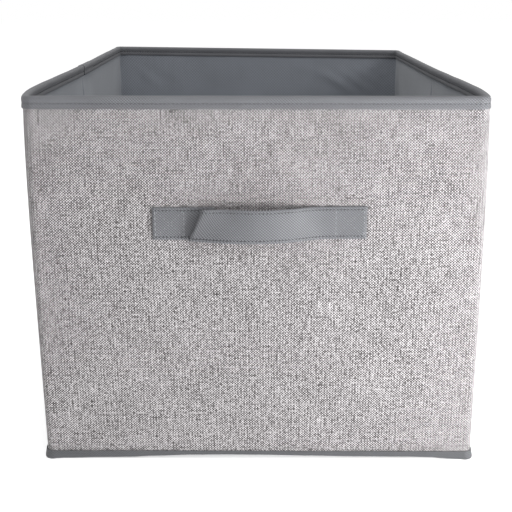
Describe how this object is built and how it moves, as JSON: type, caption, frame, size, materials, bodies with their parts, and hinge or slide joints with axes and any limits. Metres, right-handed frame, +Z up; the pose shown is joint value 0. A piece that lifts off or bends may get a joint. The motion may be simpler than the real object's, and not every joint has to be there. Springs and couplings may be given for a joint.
{
  "type": "fabric storage bin",
  "caption": "Open rectangular folding storage bin: board-stiffened fabric walls with bound rim, inward-folding sides, sewn pull handle and loose base board.",
  "frame": {"origin": "on the floor, at the middle of the base's underside", "axes": "+X to the right, the front panel with the pull handle faces -Y, +Z up"},
  "size_m": [0.3218, 0.4185, 0.278],
  "materials": {
    "outer_linen_cloth": "heather linen-look print on woven cloth, matt",
    "lining_cloth": "smooth non-woven cloth, matt",
    "grey_binding": "non-woven cloth with a fine embossed dimple, matt",
    "base_cloth": "non-woven cloth with a fine embossed dimple, matt",
    "wall_board": "raw grey-brown board",
    "stitching_thread": "spun polyester sewing thread"
  },
  "bodies": {
    "rear_wall_and_base": {"rear_board": "wall_board", "rear_outer": "outer_linen_cloth", "rear_lining": "lining_cloth", "rear_binding": "grey_binding", "left_rear_corner_seam": "lining_cloth", "right_rear_corner_seam": "lining_cloth", "base_fabric": "base_cloth"},
    "left_rear_panel": {"left_rear_board": "wall_board", "left_rear_outer": "outer_linen_cloth", "left_rear_lining": "lining_cloth", "left_rear_binding": "grey_binding", "left_fold_seam": "lining_cloth"},
    "left_front_panel": {"left_front_board": "wall_board", "left_front_outer": "outer_linen_cloth", "left_front_lining": "lining_cloth", "left_front_binding": "grey_binding"},
    "front_wall": {"front_board": "wall_board", "front_outer": "outer_linen_cloth", "front_lining": "lining_cloth", "front_binding": "grey_binding", "left_front_corner_seam": "lining_cloth", "right_front_corner_seam": "lining_cloth", "handle_strap": "grey_binding", "handle_stitching": "stitching_thread"},
    "right_rear_panel": {"right_rear_board": "wall_board", "right_rear_outer": "outer_linen_cloth", "right_rear_lining": "lining_cloth", "right_rear_binding": "grey_binding", "right_fold_seam": "lining_cloth"},
    "right_front_panel": {"right_front_board": "wall_board", "right_front_outer": "outer_linen_cloth", "right_front_lining": "lining_cloth", "right_front_binding": "grey_binding"},
    "loose_base_board": {"base_board": "wall_board", "base_board_cover": "lining_cloth"}
  },
  "joints": [
    {"name": "left_rear_corner_fold", "type": "hinge", "parent": "rear_wall_and_base", "child": "left_rear_panel", "pos_m": [-0.15655, 0.19655, 0.14], "axis": [0, 0, 1], "range_deg": [0, 51]},
    {"name": "left_side_fold", "type": "hinge", "parent": "left_rear_panel", "child": "left_front_panel", "pos_m": [-0.1584, 0, 0.14], "axis": [0, 0, -1], "range_deg": [0, 102]},
    {"name": "left_front_corner_fold", "type": "hinge", "parent": "left_front_panel", "child": "front_wall", "pos_m": [-0.15655, -0.19655, 0.14], "axis": [0, 0, 1], "range_deg": [0, 51]},
    {"name": "right_rear_corner_fold", "type": "hinge", "parent": "rear_wall_and_base", "child": "right_rear_panel", "pos_m": [0.15655, 0.19655, 0.14], "axis": [0, 0, -1], "range_deg": [0, 51]},
    {"name": "right_side_fold", "type": "hinge", "parent": "right_rear_panel", "child": "right_front_panel", "pos_m": [0.1584, 0, 0.14], "axis": [0, 0, 1], "range_deg": [0, 102]},
    {"name": "base_board_lift", "type": "slide", "parent": "rear_wall_and_base", "child": "loose_base_board", "axis": [0, 0, 1], "range_m": [0, 0.29]}
  ],
  "couplings": [
    {"joint": "left_side_fold", "follows": "left_rear_corner_fold", "ratio": 2},
    {"joint": "left_front_corner_fold", "follows": "left_rear_corner_fold", "ratio": 1},
    {"joint": "right_rear_corner_fold", "follows": "left_rear_corner_fold", "ratio": 1},
    {"joint": "right_side_fold", "follows": "left_rear_corner_fold", "ratio": 2}
  ]
}
